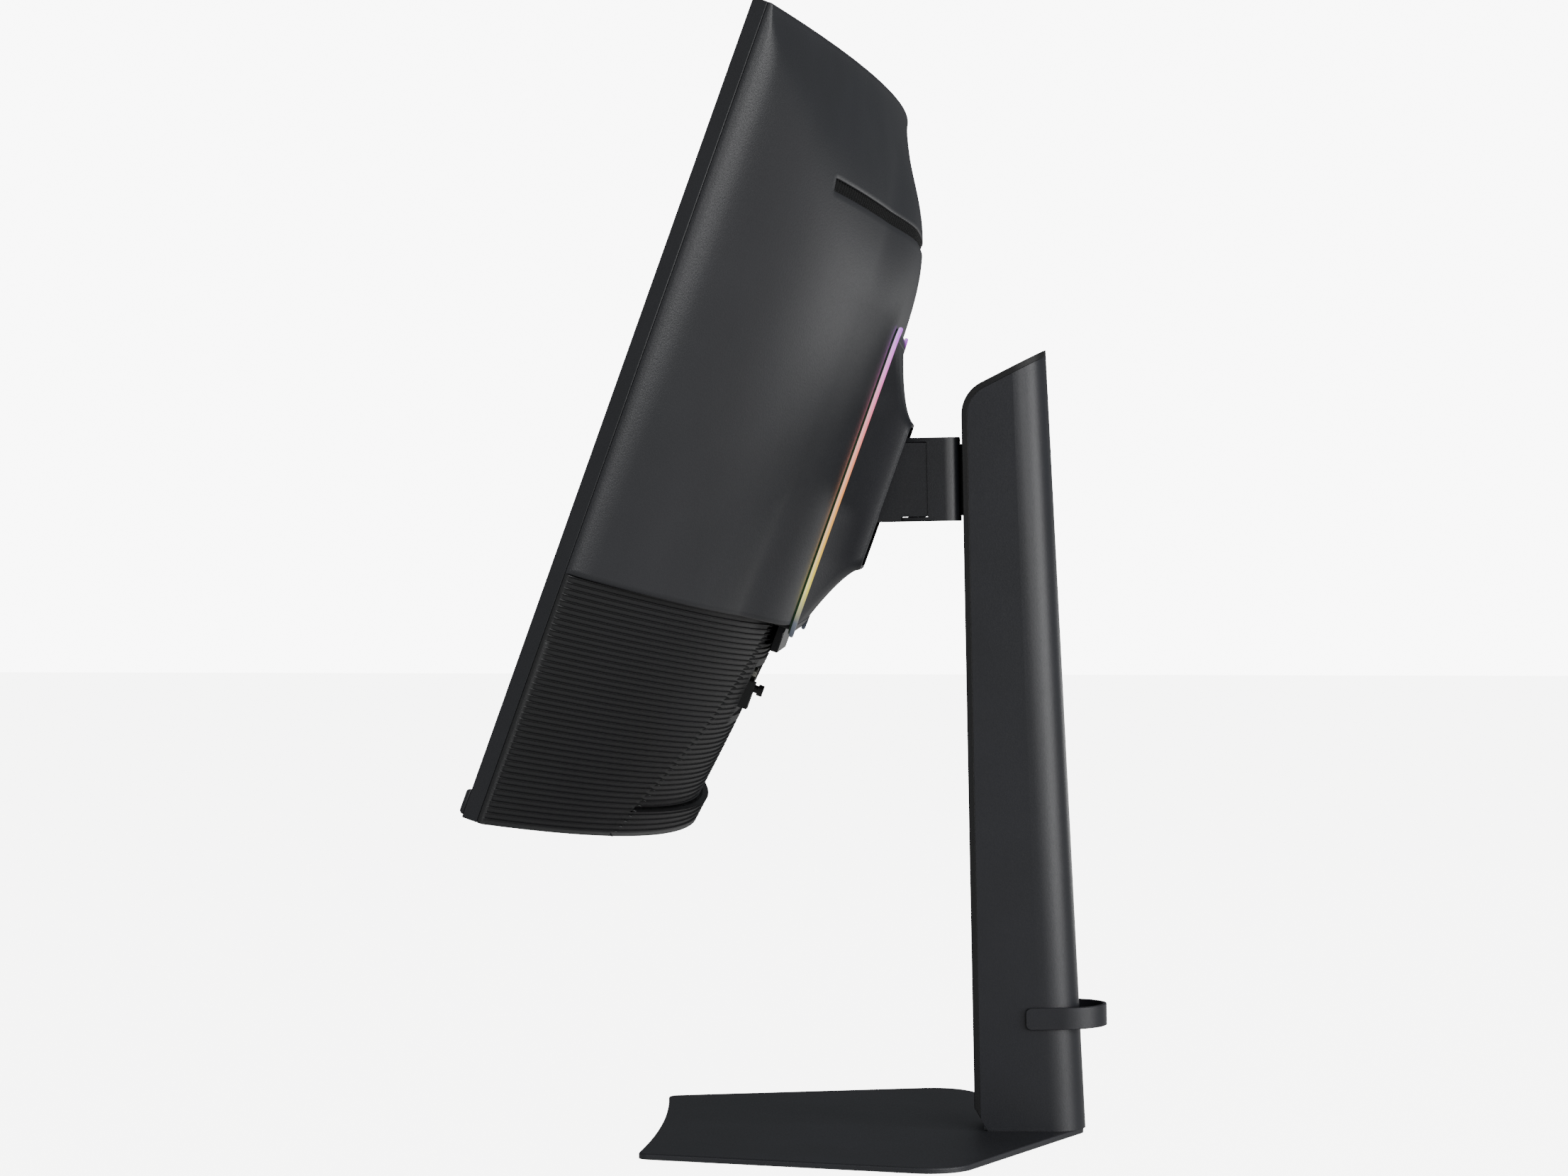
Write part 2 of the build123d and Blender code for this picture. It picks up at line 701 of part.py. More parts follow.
def write_ports():
    board = block(-95, 95, board_back - 1.6, board_back, -148, -96)
    write("main_board", head_frame, board)
    driver = block(72, 165, board_back - 1.6, board_back, -70, 60)
    write("driver_board", head_frame, driver)

    def socket(x, width, height, depth):
        # a metal shell with a tongue in it, its mouth level with the port frame
        z = -130.0
        half_x, half_z = width / 2, height / 2
        bottom = bay_back - depth
        shell = block(x - half_x, x + half_x, board_back, bay_back, z - half_z, z + half_z)
        half_x -= 0.5
        half_z -= 0.5
        mouth = block(x - half_x, x + half_x, bottom, bay_back + 1, z - half_z, z + half_z)
        half_x -= 1.5
        tongue = block(x - half_x, x + half_x, bottom, bay_back - 1, z - 0.5, z + 0.5)
        return shell - mouth + tongue

    video = [socket(x, 15.0, 5.6, 9.0) for x in (-35.0, -17.0)]
    display = [socket(2.0, 16.5, 5.8, 9.0)]
    jack = rod_y(3.4, board_back, bay_back, 16, -130) - rod_y(1.8, -22, bay_back + 1, 16, -130)
    inlet = rod_y(4.0, board_back, -6.8, jog_x, inlet_z)
    inlet -= rod_y(3.1, -16, -6, jog_x, inlet_z)
    inlet += rod_y(0.9, -17, -8, jog_x, inlet_z)
    housing = block(jog_x - 8, jog_x + 8, bay_back, -5.6, -137, -121.6)
    housing -= rod_y(2.6, bay_back - 1, -5, jog_x, jog_z)
    switch = block(jog_x - 4, jog_x + 4, board_back, -15.5, jog_z - 3.4, jog_z + 3.4)
    stick = rod_y(2.2, -13.5, -3.4, jog_x, jog_z) + rod_y(3.2, -3.4, -0.3, jog_x, jog_z)

    frame = block(-bay_half, bay_half, bay_back - 2, bay_back, bay_low, bay_high)
    for x, width, height in ((-35, 15, 5.6), (-17, 15, 5.6), (2, 16.5, 5.8)):
        frame -= block(x - width / 2, x + width / 2, -20, 0, -130 - height / 2, -130 + height / 2)
    frame -= rod_y(3.4, -20, 0, 16, -130)
    frame -= rod_y(4.0, -20, 0, jog_x, inlet_z)
    frame -= rod_y(2.6, -20, 0, jog_x, jog_z)
    write("port_frame", head_frame, frame)
    write("video_ports", head_frame, *video)
    write("display_port", head_frame, *display)
    write("audio_jack", head_frame, jack)
    write("power_inlet", head_frame, inlet)
    write("jog_housing", head_frame, housing)
    write("jog_switch", head_frame, switch)
    write("jog_stick", head_frame, stick)


os.makedirs("parts", exist_ok=True)
write_base()
write_column()
write_carriage()
write_knuckle()
write_hinge()
write_screen()
write_covers()
write_light_ring()
write_ports()
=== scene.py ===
import json
import math

import bmesh
import bpy
import numpy as np
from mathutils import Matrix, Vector

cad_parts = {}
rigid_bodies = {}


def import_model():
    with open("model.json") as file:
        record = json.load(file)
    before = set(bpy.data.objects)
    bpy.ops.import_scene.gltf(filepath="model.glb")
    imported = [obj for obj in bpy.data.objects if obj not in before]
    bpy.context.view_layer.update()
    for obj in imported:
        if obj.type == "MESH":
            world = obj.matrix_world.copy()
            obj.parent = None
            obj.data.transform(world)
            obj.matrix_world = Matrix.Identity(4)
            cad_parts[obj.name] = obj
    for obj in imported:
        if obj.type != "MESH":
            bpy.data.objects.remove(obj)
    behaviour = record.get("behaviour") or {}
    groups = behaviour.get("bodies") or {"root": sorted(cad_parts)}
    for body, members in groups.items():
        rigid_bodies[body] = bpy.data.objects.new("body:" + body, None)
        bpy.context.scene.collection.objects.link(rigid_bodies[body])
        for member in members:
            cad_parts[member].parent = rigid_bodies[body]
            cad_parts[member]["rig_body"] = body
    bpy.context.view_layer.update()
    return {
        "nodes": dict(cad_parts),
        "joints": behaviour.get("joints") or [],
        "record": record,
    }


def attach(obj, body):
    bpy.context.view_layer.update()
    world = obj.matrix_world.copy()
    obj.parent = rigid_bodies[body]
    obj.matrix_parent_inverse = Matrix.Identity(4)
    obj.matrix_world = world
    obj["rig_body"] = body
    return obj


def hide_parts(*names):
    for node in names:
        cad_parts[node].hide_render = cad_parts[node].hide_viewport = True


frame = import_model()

print("frame loaded")

joints = {joint["name"]: joint for joint in frame["joints"]}
tiltAt = np.array(joints["tilt"]["pos_m"]) * 1000
leanBack = math.radians(19.7)  # the screen's lean at rest
headBack = np.array([0, math.cos(leanBack), -math.sin(leanBack)])
headUp = np.array([0, math.sin(leanBack), math.cos(leanBack)])


def headToWorld(x, y, z):
    # millimetres in the head's frame to metres in the world: origin + x * right + y * back + z * up
    x, y, z = np.broadcast_arrays(x, y, z)
    right = np.array([1.0, 0, 0])
    return (tiltAt + x[..., None] * right + y[..., None] * headBack + z[..., None] * headUp) / 1000


def makePiece(name, points, quads):
    # one object at the origin from vertices and four-sided faces, turned so that its volume is positive
    points = points.reshape(-1, 3)
    used, quads = np.unique(quads, return_inverse=True)
    points = points[used]
    quads = quads.reshape(-1, 4)
    a, b, c, d = (points[quads[:, k]] for k in range(4))
    volume = np.einsum("ij,ij->", a, np.cross(b, c)) + np.einsum("ij,ij->", a, np.cross(c, d))
    if volume < 0:
        quads = quads[:, ::-1]
    mesh = bpy.data.meshes.new(name)
    mesh.from_pydata(points.tolist(), [], quads.tolist())
    mesh.shade_smooth()
    piece = bpy.data.objects.new(name, mesh)
    bpy.context.scene.collection.objects.link(piece)
    return piece


def shellPiece(name, outer, inner, keep):
    # two grids of the same size joined by walls along every edge of the kept cells
    rows, columns = outer.shape[:2]
    count = rows * columns
    at = np.arange(count).reshape(rows, columns)
    cells = np.stack([at[:-1, :-1], at[:-1, 1:], at[1:, 1:], at[1:, :-1]], -1)
    kept = cells[keep]
    padded = np.pad(keep, 1)
    above, below = padded[:-1, 1:-1], padded[1:, 1:-1]
    left, right = padded[1:-1, :-1], padded[1:-1, 1:]
    walls = []
    for start, end, mask in (
        (at[:, 1:], at[:, :-1], below & ~above),
        (at[:, :-1], at[:, 1:], above & ~below),
        (at[:-1], at[1:], right & ~left),
        (at[1:], at[:-1], left & ~right),
    ):
        a, b = start[mask], end[mask]
        walls.append(np.stack([a, b, b + count, a + count], -1))
    quads = np.concatenate([kept, kept[:, ::-1] + count, *walls])
    return makePiece(name, np.stack([outer, inner]), quads)


def loopPiece(name, points):
    # a closed ring of closed sections: both directions of the grid join up
    rows, columns = points.shape[:2]
    at = np.arange(rows * columns).reshape(rows, columns)
    down = np.roll(at, -1, 0)
    quads = np.stack([at, np.roll(at, -1, 1), np.roll(down, -1, 1), down], -1).reshape(-1, 4)
    return makePiece(name, points, quads)


def boxesPiece(name, low, high):
    # many boxes in the head's frame from two arrays of corners, one row for each box
    square = [[0, 0], [1, 0], [1, 1], [0, 1]]
    corner = np.array([[x, y, z] for z in (0, 1) for x, y in square])
    side = np.array([[0, 3, 2, 1], [4, 5, 6, 7], [0, 1, 5, 4], [1, 2, 6, 5], [2, 3, 7, 6], [3, 0, 4, 7]])
    points = low[:, None] + corner * (high - low)[:, None]
    quads = (side + 8 * np.arange(len(low))[:, None, None]).reshape(-1, 4)
    piece = makePiece(name, headToWorld(points[..., 0], points[..., 1], points[..., 2]), quads)
    piece.data.shade_flat()
    return piece


mouldEdge = {
    "merge": 1e-6,  # metres within which corners of the CAD's triangles are one
    "flatten": 0.3,  # degrees between faces that are taken as one plane
    "smoothBelow": 30,  # degrees between faces that are shaded as one surface
    "roundAbove": 35,  # degrees past which an edge is rounded
    "segments": 2,
}


def roundedCopy(node, width):
    # a copy of a CAD piece with its sharp edges slightly rounded, as a mould leaves them
    source = frame["nodes"][node]
    mesh = source.data.copy()
    work = bmesh.new()
    work.from_mesh(mesh)
    bmesh.ops.remove_doubles(work, verts=work.verts, dist=mouldEdge["merge"])
    plane = math.radians(mouldEdge["flatten"])
    bmesh.ops.dissolve_limit(work, angle_limit=plane, verts=work.verts, edges=work.edges)
    work.to_mesh(mesh)
    work.free()
    mesh.materials.clear()
    mesh.shade_smooth()
    mesh.set_sharp_from_angle(angle=math.radians(mouldEdge["smoothBelow"]))
    piece = bpy.data.objects.new(node + "_moulded", mesh)
    bpy.context.scene.collection.objects.link(piece)
    bevel = piece.modifiers.new("edges", "BEVEL")
    bevel.width = width / 1000
    bevel.segments = mouldEdge["segments"]
    bevel.limit_method = "ANGLE"
    bevel.angle_limit = math.radians(mouldEdge["roundAbove"])
    bevel.harden_normals = False
    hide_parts(node)
    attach(piece, source["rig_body"])
    return piece


view = {
    "distance": 2.241,  # metres along +X from the middle plane of the object
    "eyeY": 0.0685,
    "eyeZ": 0.3548,
    "sideAim": -0.0522574,  # tangent of the turn towards -Y
    "downAim": -0.0214184,  # tangent of the turn downwards
    "lens": 91.56,
    "sensor": 36.0,
    "farthest": 50,
}


def makeCamera():
    # looks along -X at the side of the monitor
    data = bpy.data.cameras.new("sideView")
    data.lens = view["lens"]
    data.sensor_width = view["sensor"]
    data.clip_end = view["farthest"]
    camera = bpy.data.objects.new("sideView", data)
    bpy.context.scene.collection.objects.link(camera)
    camera.location = (view["distance"], view["eyeY"], view["eyeZ"])
    aim = Vector((-1, view["sideAim"], view["downAim"]))
    camera.rotation_euler = aim.to_track_quat("-Z", "Y").to_euler()
    bpy.context.scene.camera = camera


def linear(code):
    # an sRGB hex colour as linear light
    parts = [int(code[k : k + 2], 16) / 255 for k in (1, 3, 5)]
    return tuple(p / 12.92 if p <= 0.04045 else ((p + 0.055) / 1.055) ** 2.4 for p in parts) + (1.0,)


def addNode(tree, kind, links=None, **settings):
    # adds one node; a setting whose name is a socket sets that socket, and links feed sockets
    node = tree.nodes.new(kind)
    for key, value in settings.items():
        if hasattr(node, key):
            setattr(node, key, value)
        else:
            node.inputs[key].default_value = value
    for key, source in (links or {}).items():
        tree.links.new(source, node.inputs[key])
    return node


def areaLight(name, place, target, size, power):
    # a white softbox at one place that faces another
    data = bpy.data.lights.new(name, "AREA")
    data.shape = "RECTANGLE"
    data.size, data.size_y = size
    data.energy = power
    light = bpy.data.objects.new(name, data)
    bpy.context.scene.collection.objects.link(light)
    light.location = place
    aim = Vector(target) - Vector(place)
    light.rotation_euler = aim.to_track_quat("-Z", "Y").to_euler()


lighting = {
    "backdrop": "#fdfdfd",
    "backdropGain": 9.0,  # how bright the backdrop itself looks
    "ambient": 0.16,  # the light it sheds on the object
    "ambientTint": "#eef2f8",
    "floor": "#f4f4f3",
    "floorHalf": 6.0,
    "floorGlow": 7.5,  # how bright the floor looks, over what the lamps give it
    "floorShed": 0.40,  # the light it sheds on the object
    "lamps": [
        # name, place, target, size, watts
        ("rearSoftbox", (0.9, 2.4, 0.5), (0, 0.05, 0.30), (1.2, 0.9), 24),
        ("farStrip", (-1.5, 1.05, 0.12), (0.1, 0.05, 0.40), (0.6, 0.3), 1.7),
        ("lowSoftbox", (1.3, 1.7, 0.10), (0.1, 0.05, 0.42), (0.9, 0.4), 10),
        ("topSoftbox", (0.5, 0.3, 2.6), (0, 0, 0.3), (2.2, 2.2), 9),
        ("sideSoftbox", (2.4, 1.3, 0.9), (0, 0, 0.35), (1.2, 1.2), 22),
        ("frontFill", (2.6, -1.9, 1.1), (0, 0, 0.3), (1.6, 1.6), 12),
    ],
}


def makeStudio():
    # pale backdrop and floor, each as bright to look at as paper in a studio,
    # and dim as a light so that the softboxes shape the object
    world = bpy.data.worlds.new("studio")
    world.use_nodes = True
    tree = world.node_tree
    tree.nodes.clear()
    seen = addNode(tree, "ShaderNodeBackground", Color=linear(lighting["backdrop"]))
    seen.inputs["Strength"].default_value = lighting["backdropGain"]
    shed = addNode(tree, "ShaderNodeBackground", Color=linear(lighting["ambientTint"]))
    shed.inputs["Strength"].default_value = lighting["ambient"]
    path = addNode(tree, "ShaderNodeLightPath")
    mix = addNode(tree, "ShaderNodeMixShader", links={0: path.outputs["Is Camera Ray"]})
    tree.links.new(shed.outputs[0], mix.inputs[1])
    tree.links.new(seen.outputs[0], mix.inputs[2])
    addNode(tree, "ShaderNodeOutputWorld", links={"Surface": mix.outputs[0]})
    bpy.context.scene.world = world
    for lamp in lighting["lamps"]:
        areaLight(*lamp)
    half = lighting["floorHalf"]
    corners = [(-half, -half, 0), (half, -half, 0), (half, half, 0), (-half, half, 0)]
    mesh = bpy.data.meshes.new("floor")
    mesh.from_pydata(corners, [], [(0, 1, 2, 3)])
    floor = bpy.data.objects.new("floor", mesh)
    bpy.context.scene.collection.objects.link(floor)
    material = bpy.data.materials.new("seamlessPaper")
    material.use_nodes = True
    tree = material.node_tree
    tree.nodes.clear()
    white = linear(lighting["floor"])
    paper = addNode(tree, "ShaderNodeBsdfDiffuse", Color=white)
    lift = addNode(tree, "ShaderNodeEmission", Color=white, Strength=lighting["floorGlow"])
    shed = addNode(tree, "ShaderNodeEmission", Color=white, Strength=lighting["floorShed"])
    seen = addNode(tree, "ShaderNodeAddShader")
    tree.links.new(paper.outputs[0], seen.inputs[0])
    tree.links.new(lift.outputs[0], seen.inputs[1])
    path = addNode(tree, "ShaderNodeLightPath")
    mix = addNode(tree, "ShaderNodeMixShader", links={0: path.outputs["Is Camera Ray"]})
    tree.links.new(shed.outputs[0], mix.inputs[1])
    tree.links.new(seen.outputs[0], mix.inputs[2])
    addNode(tree, "ShaderNodeOutputMaterial", links={"Surface": mix.outputs[0]})
    mesh.materials.append(material)


makeCamera()
makeStudio()
print("camera and studio ready")


def startMaterial(name):
    # an empty material with one principled shader, and the place on the piece in metres
    material = bpy.data.materials.new(name)
    material.use_nodes = True
    tree = material.node_tree
    tree.nodes.clear()
    output = addNode(tree, "ShaderNodeOutputMaterial")
    shader = addNode(tree, "ShaderNodeBsdfPrincipled")
    tree.links.new(shader.outputs[0], output.inputs["Surface"])
    place = addNode(tree, "ShaderNodeTexCoord")
    return material, tree, shader, place.outputs["Object"]


skin = {
    "cloudMm": 45,  # size of the slow mottling
    "darkUpTo": 0.3,  # shares of the mottling that are all dark and all pale
    "paleFrom": 0.7,
    "roughSpread": 0.06,
    "grainDepth": 0.25,  # share of the grain's width
}


def grainMaterial(name, look):
    # a moulded, cast or coated skin: fine grain in the bump and the gloss, and slow mottling in the colour
    material, tree, shader, place = startMaterial(name)
    grain = addNode(tree, "ShaderNodeTexNoise", links={"Vector": place}, Detail=2.0)
    grain.inputs["Scale"].default_value = 1000 / look["grainMm"]
    cloud = addNode(tree, "ShaderNodeTexNoise", links={"Vector": place}, Detail=3.0)
    cloud.inputs["Scale"].default_value = 1000 / look.get("cloudMm", skin["cloudMm"])
    tone = addNode(tree, "ShaderNodeValToRGB", links={"Fac": cloud.outputs["Fac"]})
    tone.color_ramp.elements[0].position = skin["darkUpTo"]
    tone.color_ramp.elements[1].position = skin["paleFrom"]
    tone.color_ramp.elements[0].color = linear(look["dark"])
    tone.color_ramp.elements[1].color = linear(look["pale"])
    gloss = addNode(tree, "ShaderNodeMapRange", links={"Value": grain.outputs["Fac"]})
    gloss.inputs["To Min"].default_value = look["rough"] - skin["roughSpread"]
    gloss.inputs["To Max"].default_value = look["rough"] + skin["roughSpread"]
    bump = addNode(tree, "ShaderNodeBump", links={"Height": grain.outputs["Fac"]})
    bump.inputs["Strength"].default_value = look["bump"]
    bump.inputs["Distance"].default_value = look["grainMm"] / 1000 * skin["grainDepth"]
    tree.links.new(tone.outputs["Color"], shader.inputs["Base Color"])
    tree.links.new(gloss.outputs["Result"], shader.inputs["Roughness"])
    tree.links.new(bump.outputs["Normal"], shader.inputs["Normal"])
    shader.inputs["Metallic"].default_value = look.get("metallic", 0.0)
    if "ior" in look:
        shader.inputs["IOR"].default_value = look["ior"]
    return material


# grainMm is the grain's width; where the real one is too fine to show, it is drawn coarser
looks = {
    # matte spark-eroded ABS of the back covers: charcoal, a soft wide sheen and a fine grain
    "mouldedMatteAbs": {
        "dark": "#212226", "pale": "#26272b", "rough": 0.45, "grainMm": 0.9, "bump": 0.35, "ior": 1.5,
    },
    # the ribbed lower cover, the same resin painted a shade blacker: painted shade that stands for the
    # shade in its grooves
    "ribbedShadedAbs": {
        "dark": "#0a0b0d", "pale": "#0e0f12", "rough": 0.5, "grainMm": 0.8, "bump": 0.25, "ior": 1.5,
    },
    # the frame round the screen, smoother
    "satinFrameAbs": {
        "dark": "#1d1e22", "pale": "#222327", "rough": 0.42, "grainMm": 0.6, "bump": 0.15, "ior": 1.5,
    },
    # black moulded trims, grilles and carriers, nearly no sheen
    "blackTrimAbs": {
        "dark": "#0a0b0c", "pale": "#0e0f11", "rough": 0.55, "grainMm": 0.6, "bump": 0.15, "ior": 1.46,
    },
    # satin textured ABS of the column's shell and its clip
    "columnSatinAbs": {
        "dark": "#26272b", "pale": "#2a2b30", "rough": 0.41, "grainMm": 0.7, "bump": 0.2, "ior": 1.5,
    },
    # powder-coated steel plate: fine orange peel
    "powderCoatedSteel": {
        "dark": "#2b2c30", "pale": "#303136", "rough": 0.47, "grainMm": 1.1, "bump": 0.3, "ior": 1.5,
    },
    # painted die castings of the neck
    "paintedCasting": {
        "dark": "#1c1d21", "pale": "#212226", "rough": 0.44, "grainMm": 0.8, "bump": 0.2, "ior": 1.5,
    },
    # polished mould: the lower housing and the stick mirror the lamps
    "glossBlackAbs": {
        "dark": "#0b0b0c", "pale": "#0f0f11", "rough": 0.22, "grainMm": 1.5, "bump": 0.05, "ior": 1.5,
    },
    # moulded feet, dull and a little rough
    "nitrileRubber": {
        "dark": "#131313", "pale": "#1a1a1a", "rough": 0.75, "grainMm": 0.7, "bump": 0.4, "ior": 1.5,
    },
    # zinc-plated fasteners and shafts, turned or headed
    "zincPlatedSteel": {
        "dark": "#8e9194", "pale": "#a5a8aa", "rough": 0.34, "grainMm": 0.5, "bump": 0.1, "metallic": 1.0,
    },
    # cold-rolled strip, bare: grey and half dull
    "rolledSteel": {
        "dark": "#74777a", "pale": "#8a8d90", "rough": 0.4, "grainMm": 0.6, "bump": 0.12, "metallic": 1.0,
    },
    # tempered spring strip, dark blue and fairly bright
    "bluedSpringSteel": {
        "dark": "#3b3f4b", "pale": "#565b68", "rough": 0.3, "grainMm": 0.5, "bump": 0.1, "metallic": 1.0,
    },
    # die cast or pressed aluminium, pale grey and matte
    "castAluminium": {
        "dark": "#86888b", "pale": "#9b9da0", "rough": 0.5, "grainMm": 1.2, "bump": 0.35, "metallic": 1.0,
    },
    # pressed steel dip-painted black: the hinge's plate, bracket and chassis
    "dipPaintedSteel": {
        "dark": "#18191b", "pale": "#1f2023", "rough": 0.5, "grainMm": 1.0, "bump": 0.12, "ior": 1.5,
    },
    # unpigmented moulded pads, bushes and drum, milky white
    "naturalAcetal": {
        "dark": "#d3d1c6", "pale": "#deddd3", "rough": 0.38, "grainMm": 0.8, "bump": 0.1, "ior": 1.48,
    },
    # white diffusing film behind the screen
    "opalFilm": {
        "dark": "#dfe2e6", "pale": "#eceff2", "rough": 0.5, "grainMm": 0.5, "bump": 0.05, "ior": 1.5,
    },
    # cast light guide, smooth and pale; drawn solid, since it is never seen through
    "clearGuideAcrylic": {
        "dark": "#cfd8dd", "pale": "#dde5e9", "rough": 0.12, "grainMm": 1.0, "bump": 0.02, "ior": 1.49,
    },
    # glass-fibre board under green lacquer
    "solderMaskBoard": {
        "dark": "#123a1f", "pale": "#1b4a2a", "rough": 0.35, "grainMm": 1.4, "bump": 0.2, "ior": 1.5,
    },
    # nickel-plated steel shells of the sockets, bright and warm
    "nickelShell": {
        "dark": "#a9a79f", "pale": "#bebcb4", "rough": 0.25, "grainMm": 0.6, "bump": 0.08, "metallic": 1.0,
    },
    # etched anti-glare glass over a black display
    "etchedScreenGlass": {
        "dark": "#08090b", "pale": "#0a0b0d", "rough": 0.24, "grainMm": 0.3,
        "bump": 0.03, "ior": 1.52, "cloudMm": 200,
    },
}
finish = {name: grainMaterial(name, look) for name, look in looks.items()}

slotFinish = {
    "powder_coated_steel": "powderCoatedSteel",
    "black_rubber": "nitrileRubber",
    "zinc_steel": "zincPlatedSteel",
    "column_plastic": "columnSatinAbs",
    "cover_plastic": "mouldedMatteAbs",
    "frame_plastic": "satinFrameAbs",
    "trim_plastic": "blackTrimAbs",
    "rail_steel": "rolledSteel",
    "die_cast": "castAluminium",
    "painted_casting": "paintedCasting",
    "acetal": "naturalAcetal",
    "spring_steel": "bluedSpringSteel",
    "screen": "etchedScreenGlass",
    "diffuser_film": "opalFilm",
    "clear_acrylic": "clearGuideAcrylic",
    "tray_aluminium": "castAluminium",
    "chassis_steel": "dipPaintedSteel",
    "board": "solderMaskBoard",
    "connector_metal": "nickelShell",
    "gloss_black": "glossBlackAbs",
    "ring_diffuser": "opalFilm",
}
slotOf = {part["node"]: part["material_slot"] for part in frame["record"]["subparts"]}
for node, piece in frame["nodes"].items():
    piece.data.materials.clear()
    piece.data.materials.append(finish[slotFinish[slotOf[node]]])
print("materials on the frame")


def finishPiece(piece, body, slot, material, *nodes):
    # one finish all over, the nodes it stands in for and the body it moves with
    # the slot argument is not used
    piece.data.materials.clear()
    piece.data.materials.append(material)
    if nodes:
        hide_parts(*nodes)
    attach(piece, body)
    return piece


head = {
    "half": 350.0,  # half the width
    "top": 204.2,
    "bottom": -210.0,
    "seamRadius": 1050.0,  # the seam between frame and covers, seen from above
    "seamMid": -36.15,
    "split": -83.6,  # where the smooth upper cover meets the ribbed one
    "rimStep": 2.6,  # how far a cover's rim stands behind the seam
    "wall": 2.2,
    "groove": 0.5,  # dark gap between frame and covers
}
ring = {
    "halfX": 80.0,
    "halfZ": 90.0,
    "corner": 14.0,
    "back": 4.1,  # y of the face towards the screen, and of the one the pod stands on
    "front": 6.5,
    "band": 8.0,
    "litX": 68.0,  # the sides are lit, and the runs between them up to here are dark
    "slopeBack": 0.8,  # share of the band that a dark run keeps at the back, and loses towards the front
    "slopeLoss": 0.74,
}


def seamY(x):
    # an arc about an upright axis before the screen
    return head["seamMid"] - head["seamRadius"] + np.sqrt(head["seamRadius"] ** 2 - x * x)


def smoothStep(value):
    # eases from 0 to 1 with level ends: 3 v squared less 2 v cubed
    value = np.clip(value, 0, 1)
    return value * value * (3 - 2 * value)


def ringDistance(x, z):
    # distance outside the light ring's rounded rectangle, negative inside
    cornerX = np.abs(x) - (ring["halfX"] - ring["corner"])
    cornerZ = np.abs(z) - (ring["halfZ"] - ring["corner"])
    outside = np.hypot(np.maximum(cornerX, 0), np.maximum(cornerZ, 0))
    inside = np.minimum(np.maximum(cornerX, cornerZ), 0)
    return outside + inside - ring["corner"]


upper = {
    "depth": 31.5,  # in the middle, at the split
    "swell": 10.0,  # added higher up
    "swellOver": 168,
    "sideStep": 0.15,  # share of the depth that is reached at once at the sides
    "stepOver": 4,
    "sideOver": 280,
    "topSlope": 0.56,
    "topSink": 2.6,  # the slope starts this much lower than a straight one
    "sinkOver": 5,
    "hip": 3.0,  # a higher power makes the hip between the slopes sharper
    "ringSeat": 1.1,
    "ringPull": 95,  # how far from the ring the cover starts to lean to it
}


def upperDepth(x, z):
    # rises from the top edge and from the sides, the two slopes joined by a soft hip,
    # and leans to meet the back of the light ring
    side = np.maximum(head["half"] - np.abs(x), 0.001)
    down = np.maximum(head["top"] - z, 0.001)
    middle = upper["depth"] + upper["swell"] * smoothStep((z - head["split"]) / upper["swellOver"])
    step = 1 - np.exp(-side / upper["stepOver"])
    rise = 1 - np.maximum(1 - side / upper["sideOver"], 0) ** 3
    across = middle * (upper["sideStep"] * step + (1 - upper["sideStep"]) * rise)
    slope = upper["topSlope"] * down - upper["topSink"] * (1 - np.exp(-down / upper["sinkOver"]))
    hip = upper["hip"]
    joined = (across**-hip + slope**-hip) ** (-1 / hip)
    depth = head["rimStep"] + (1 - head["rimStep"] / middle) * joined
    meet = ring["back"] - upper["ringSeat"] - seamY(x)
    pull = 1 - smoothStep(ringDistance(x, z) / upper["ringPull"])
    return depth + (meet - depth) * pull


lower = {
    "depth": 28.5,  # in the middle, at the split
    "fall": 8.8,  # lost lower down
    "fallFrom": 50,
    "fallOver": 90,
    "bow": 1.8,  # power of the share of the half width
    "edgeStep": 2.2,  # reached at once at the sides, less further down
    "edgeOver": 125,
    "stepOver": 4,
}
sunk = {"depth": 31.5, "fall": 0.0235, "fallPower": 1.32, "bow": 0.00023}


def lowerDepth(x, z):
    # the ribbed cover is shallower and falls away below
    side = np.maximum(head["half"] - np.abs(x), 0)
    down = head["split"] - z
    rise = lower["depth"] - lower["fall"] * smoothStep((down - lower["fallFrom"]) / lower["fallOver"])
    bow = 1 - (np.abs(x) / head["half"]) ** lower["bow"]
    edge = lower["edgeStep"] - lower["edgeStep"] * (down / lower["edgeOver"]) ** 2
    return head["rimStep"] + rise * bow + edge * (1 - np.exp(-side / lower["stepOver"]))


def floorDepth(x, z):
    # the sunk middle of the ribbed cover: less deep by a power of the way down, and by x squared
    down = np.maximum(head["split"] - z, 0)
    return sunk["depth"] - sunk["fall"] * down ** sunk["fallPower"] - sunk["bow"] * x * x


def headGrid(x, depth, z):
    # a grid at some depth behind the seam arc
    return headToWorld(x, seamY(x) + depth, z)


ventSlot = {"half": 260.0, "low": 136.0, "high": 142.0, "lip": 0.6, "sink": 0.45}
podOpening = {"half": 75.0, "top": 85.0, "margin": 5.0}
edgeSteps = [(0.0, 2.1), (0.0, 0.9), (0.3, 0.3), (1.0, 0.0)]  # inset and drop that round a rim


